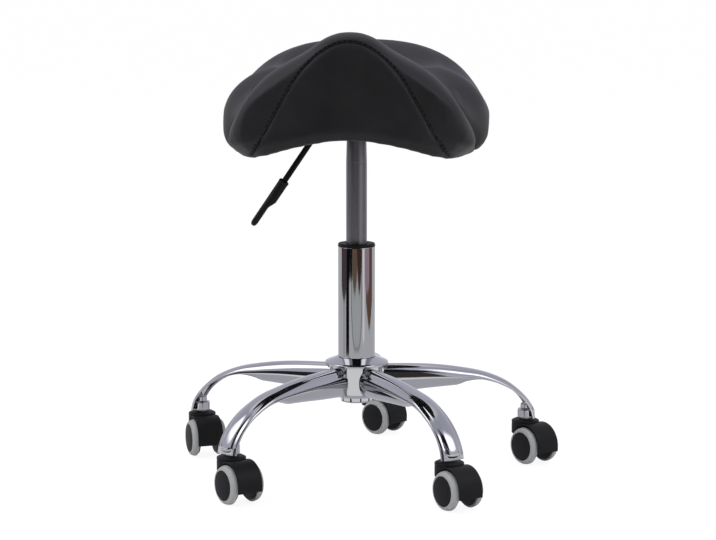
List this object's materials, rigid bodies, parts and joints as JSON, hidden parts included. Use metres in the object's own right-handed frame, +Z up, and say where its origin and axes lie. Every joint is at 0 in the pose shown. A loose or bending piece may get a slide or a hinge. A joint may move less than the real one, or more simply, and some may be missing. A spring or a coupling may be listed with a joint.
{
  "type": "saddle stool",
  "caption": "Rolling saddle stool: padded saddle seat on a gas lift with a height lever, chromed star base and swivelling twin-wheel casters.",
  "frame": {"origin": "on the floor, under the middle of the object's bounding box; the column's axis stands 14.9 mm to -X and 4.4 mm to -Y of it, because the trailing casters reach further on one side", "axes": "+Z up along the column; -Y to the seat's front, its raised pommel; +X to the left of someone sitting on the seat; the height lever is on the -X side"},
  "size_m": [0.523, 0.5104, 0.6013],
  "materials": {
    "leather": "satin smooth upholstery cover, black",
    "foam": "moulded polyurethane foam",
    "black_plywood": "bent plywood with a blackened underside",
    "chrome": "mirror chrome plate on steel",
    "satin_steel": "satin ground steel",
    "black_steel": "black powder coat on steel",
    "black_plastic": "moulded black nylon, satin",
    "grey_tyre": "soft grey polyurethane tyre",
    "black_rubber": "black rubber"
  },
  "bodies": {
    "base": {"hub": "chrome", "leg_1": "chrome", "leg_2": "chrome", "leg_3": "chrome", "leg_4": "chrome", "leg_5": "chrome", "column_tube": "chrome", "guide_sleeve": "black_plastic", "caster_stem_1": "satin_steel", "caster_stem_2": "satin_steel", "caster_stem_3": "satin_steel", "caster_stem_4": "satin_steel", "caster_stem_5": "satin_steel"},
    "piston": {"piston_rod": "satin_steel", "thrust_bearing": "satin_steel", "rubber_buffer": "black_rubber", "retaining_clip": "satin_steel"},
    "seat": {"gas_cylinder": "satin_steel", "cylinder_gland": "black_plastic", "seat_plate": "black_steel", "seat_bolt_1": "satin_steel", "seat_bolt_2": "satin_steel", "seat_bolt_3": "satin_steel", "seat_bolt_4": "satin_steel", "seat_board": "black_plywood", "seat_foam": "foam", "seat_cover": "leather"},
    "lever": {"lever_rod": "black_steel", "lever_grip": "black_plastic"},
    "valve": {"valve_pin": "satin_steel"},
    "caster_1": {"caster_hood_1": "black_plastic", "caster_axle_1": "satin_steel"},
    "wheel_left_1": {"wheel_core_left_1": "black_plastic", "tyre_left_1": "grey_tyre"},
    "wheel_right_1": {"wheel_core_right_1": "black_plastic", "tyre_right_1": "grey_tyre"},
    "caster_2": {"caster_hood_2": "black_plastic", "caster_axle_2": "satin_steel"},
    "wheel_left_2": {"wheel_core_left_2": "black_plastic", "tyre_left_2": "grey_tyre"},
    "wheel_right_2": {"wheel_core_right_2": "black_plastic", "tyre_right_2": "grey_tyre"},
    "caster_3": {"caster_hood_3": "black_plastic", "caster_axle_3": "satin_steel"},
    "wheel_left_3": {"wheel_core_left_3": "black_plastic", "tyre_left_3": "grey_tyre"},
    "wheel_right_3": {"wheel_core_right_3": "black_plastic", "tyre_right_3": "grey_tyre"},
    "caster_4": {"caster_hood_4": "black_plastic", "caster_axle_4": "satin_steel"},
    "wheel_left_4": {"wheel_core_left_4": "black_plastic", "tyre_left_4": "grey_tyre"},
    "wheel_right_4": {"wheel_core_right_4": "black_plastic", "tyre_right_4": "grey_tyre"},
    "caster_5": {"caster_hood_5": "black_plastic", "caster_axle_5": "satin_steel"},
    "wheel_left_5": {"wheel_core_left_5": "black_plastic", "tyre_left_5": "grey_tyre"},
    "wheel_right_5": {"wheel_core_right_5": "black_plastic", "tyre_right_5": "grey_tyre"}
  },
  "joints": [
    {"name": "seat_swivel", "type": "hinge", "parent": "base", "child": "piston", "pos_m": [-0.01487, -0.00437, 0.1], "axis": [0, 0, 1], "continuous": true},
    {"name": "seat_lift", "type": "slide", "parent": "piston", "child": "seat", "axis": [0, 0, 1], "range_m": [-0.14, 0]},
    {"name": "lever_pull", "type": "hinge", "parent": "seat", "child": "lever", "pos_m": [-0.04087, -0.00437, 0.4854], "axis": [0, 1, 0], "range_deg": [0, 6], "stiffness_Nm_per_rad": 12, "springref_deg": -6.13},
    {"name": "valve_press", "type": "slide", "parent": "seat", "child": "valve", "axis": [0, 0, -1], "range_m": [0, 0.003], "stiffness_N_per_m": 50, "springref_m": -0.01},
    {"name": "caster_swivel_1", "type": "hinge", "parent": "base", "child": "caster_1", "pos_m": [0.21633, 0.05736, 0.045], "axis": [0, 0, 1], "continuous": true},
    {"name": "wheel_spin_left_1", "type": "hinge", "parent": "caster_1", "child": "wheel_left_1", "pos_m": [0.22854, 0.04281, 0.0255], "axis": [-0.766, -0.6428, 0], "continuous": true},
    {"name": "wheel_spin_right_1", "type": "hinge", "parent": "caster_1", "child": "wheel_right_1", "pos_m": [0.22854, 0.04281, 0.0255], "axis": [-0.766, -0.6428, 0], "continuous": true},
    {"name": "caster_swivel_2", "type": "hinge", "parent": "base", "child": "caster_2", "pos_m": [-0.00214, 0.23459, 0.045], "axis": [0, 0, 1], "continuous": true},
    {"name": "wheel_spin_left_2", "type": "hinge", "parent": "caster_2", "child": "wheel_left_2", "pos_m": [0.01229, 0.22222, 0.0255], "axis": [-0.6508, -0.7593, 0], "continuous": true},
    {"name": "wheel_spin_right_2", "type": "hinge", "parent": "caster_2", "child": "wheel_right_2", "pos_m": [0.01229, 0.22222, 0.0255], "axis": [-0.6508, -0.7593, 0], "continuous": true},
    {"name": "caster_swivel_3", "type": "hinge", "parent": "base", "child": "caster_3", "pos_m": [-0.2382, 0.08158, 0.045], "axis": [0, 0, 1], "continuous": true},
    {"name": "wheel_spin_left_3", "type": "hinge", "parent": "caster_3", "child": "wheel_left_3", "pos_m": [-0.23109, 0.06396, 0.0255], "axis": [-0.9272, -0.3746, 0], "continuous": true},
    {"name": "wheel_spin_right_3", "type": "hinge", "parent": "caster_3", "child": "wheel_right_3", "pos_m": [-0.23109, 0.06396, 0.0255], "axis": [-0.9272, -0.3746, 0], "continuous": true},
    {"name": "caster_swivel_4", "type": "hinge", "parent": "base", "child": "caster_4", "pos_m": [-0.16563, -0.19021, 0.045], "axis": [0, 0, 1], "continuous": true},
    {"name": "wheel_spin_left_4", "type": "hinge", "parent": "caster_4", "child": "wheel_left_4", "pos_m": [-0.15433, -0.20549, 0.0255], "axis": [-0.8039, -0.5948, 0], "continuous": true},
    {"name": "wheel_spin_right_4", "type": "hinge", "parent": "caster_4", "child": "wheel_right_4", "pos_m": [-0.15433, -0.20549, 0.0255], "axis": [-0.8039, -0.5948, 0], "continuous": true},
    {"name": "caster_swivel_5", "type": "hinge", "parent": "base", "child": "caster_5", "pos_m": [0.11528, -0.20518, 0.045], "axis": [0, 0, 1], "continuous": true},
    {"name": "wheel_spin_left_5", "type": "hinge", "parent": "caster_5", "child": "wheel_left_5", "pos_m": [0.12648, -0.22053, 0.0255], "axis": [-0.808, -0.5892, 0], "continuous": true},
    {"name": "wheel_spin_right_5", "type": "hinge", "parent": "caster_5", "child": "wheel_right_5", "pos_m": [0.12648, -0.22053, 0.0255], "axis": [-0.808, -0.5892, 0], "continuous": true}
  ],
  "couplings": [
    {"joint": "valve_press", "follows": "lever_pull", "m_per_rad": 0.0285}
  ]
}
